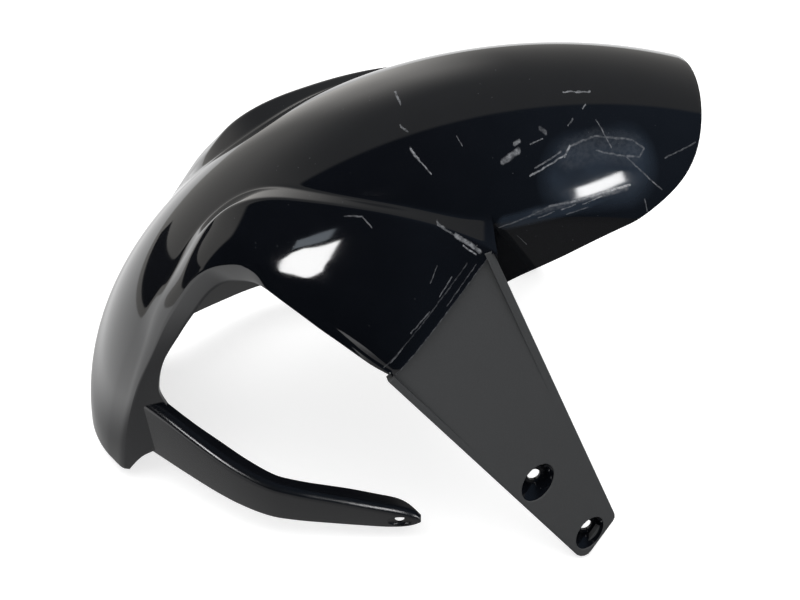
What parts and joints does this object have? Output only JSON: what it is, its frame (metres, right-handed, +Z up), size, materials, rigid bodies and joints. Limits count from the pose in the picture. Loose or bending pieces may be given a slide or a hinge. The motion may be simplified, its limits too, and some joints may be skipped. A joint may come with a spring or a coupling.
{
  "type": "motorcycle front mudguard",
  "caption": "Gloss black moulded front mudguard with a rounded arch, flared shoulders, long matte fork legs with dished bolt holes, and curved rear stay arms.",
  "frame": {"origin": "centre of the wheel axle, in the middle plane of the arch", "axes": "X forward along the bike, Y to the rider's left, Z up, in the attitude of the picture, which is close to the mounted one"},
  "size_m": [0.3974, 0.2858, 0.2973],
  "materials": {
    "gloss_black": "gloss black paint with scratches and scrapes",
    "matte_black": "bare matte black moulding on the lower fork legs"
  },
  "bodies": {
    "root": {"mudguard": "gloss_black"}
  },
  "joints": []
}
